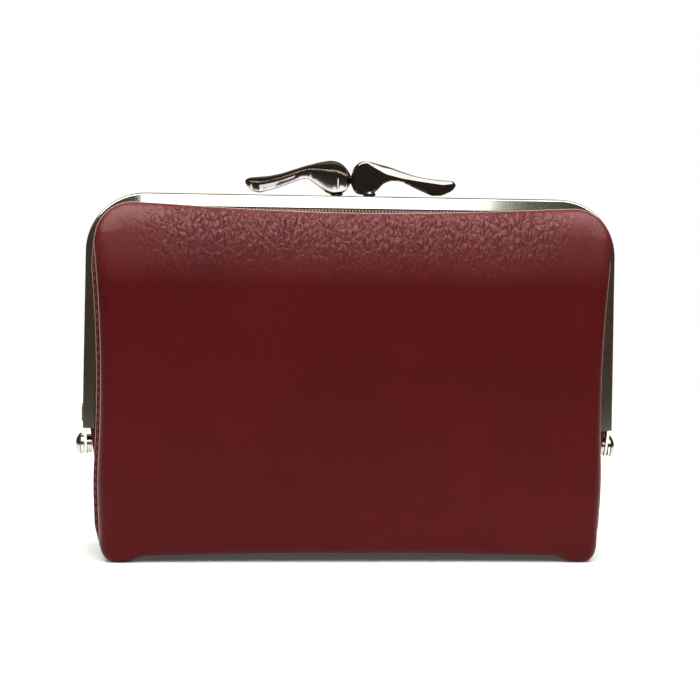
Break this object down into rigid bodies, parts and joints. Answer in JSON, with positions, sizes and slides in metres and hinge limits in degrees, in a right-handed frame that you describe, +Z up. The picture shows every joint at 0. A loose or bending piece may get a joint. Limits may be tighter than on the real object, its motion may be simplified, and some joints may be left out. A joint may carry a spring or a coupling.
{
  "type": "coin purse",
  "caption": "Leather purse: a padded front cover folds down, and a coin pocket opens in a rounded metal frame with a kiss-lock clasp",
  "frame": {"origin": "middle of the base, on the surface the purse stands on", "axes": "+X to the right seen from the front, +Y to the back, +Z up; the front cover faces -Y"},
  "size_m": [0.1284, 0.028, 0.0929],
  "materials": {
    "burgundy_leather": "soft grained leather, satin",
    "panel_leather": "thin smooth leather, satin",
    "lining_fabric": "woven lining, matte",
    "frame_metal": "polished pale nickel plate",
    "rivet_metal": "polished nickel plate",
    "lever_metal": "polished dark nickel plate",
    "hidden_steel": "plain",
    "board": "grey board, matte",
    "foam": "thin padding, matte",
    "crimp_cord": "twisted paper cord, matte"
  },
  "bodies": {
    "root": {"base_leather": "burgundy_leather", "base_board": "board", "base_lining": "lining_fabric", "front_frame": "frame_metal", "hinge_rivet_left": "rivet_metal", "hinge_rivet_right": "rivet_metal", "front_crimp_cord": "crimp_cord", "front_wall_leather": "burgundy_leather", "catch_plates": "hidden_steel", "front_wall_lining": "lining_fabric", "bill_pocket": "panel_leather", "gusset_left": "burgundy_leather", "gusset_right": "burgundy_leather", "gusset_lining_left": "lining_fabric", "gusset_lining_right": "lining_fabric"},
    "rear": {"rear_frame": "frame_metal", "rear_crimp_cord": "crimp_cord", "rear_wall_leather": "burgundy_leather", "rear_wall_lining": "lining_fabric"},
    "lever_left": {"clasp_lever_left": "lever_metal", "clasp_washer_left": "rivet_metal"},
    "lever_right": {"clasp_lever_right": "lever_metal", "clasp_washer_right": "rivet_metal"},
    "cover": {"cover_leather": "burgundy_leather", "cover_foam": "foam", "cover_board": "board", "cover_magnets": "hidden_steel", "cover_back_panel": "panel_leather", "card_slot_upper": "panel_leather", "card_slot_middle": "panel_leather", "card_slot_lower": "panel_leather"}
  },
  "joints": [
    {"name": "frame_hinge", "type": "hinge", "parent": "root", "child": "rear", "pos_m": [0, 0, 0.0258], "axis": [-1, 0, 0], "range_deg": [0, 70], "deforming": ["gusset_left", "gusset_right", "gusset_lining_left", "gusset_lining_right"]},
    {"name": "cover_fold", "type": "hinge", "parent": "root", "child": "cover", "pos_m": [0, -0.0134, 0.0006], "axis": [1, 0, 0], "range_deg": [0, 90]},
    {"name": "clasp_left_twist", "type": "hinge", "parent": "rear", "child": "lever_left", "pos_m": [-0.0036, 0.00285, 0.0846], "axis": [0, 0, 1], "range_deg": [-3, 3], "stiffness_Nm_per_rad": 0.2},
    {"name": "clasp_right_twist", "type": "hinge", "parent": "root", "child": "lever_right", "pos_m": [0.0036, -0.00285, 0.0846], "axis": [0, 0, 1], "range_deg": [-3, 3], "stiffness_Nm_per_rad": 0.2}
  ]
}
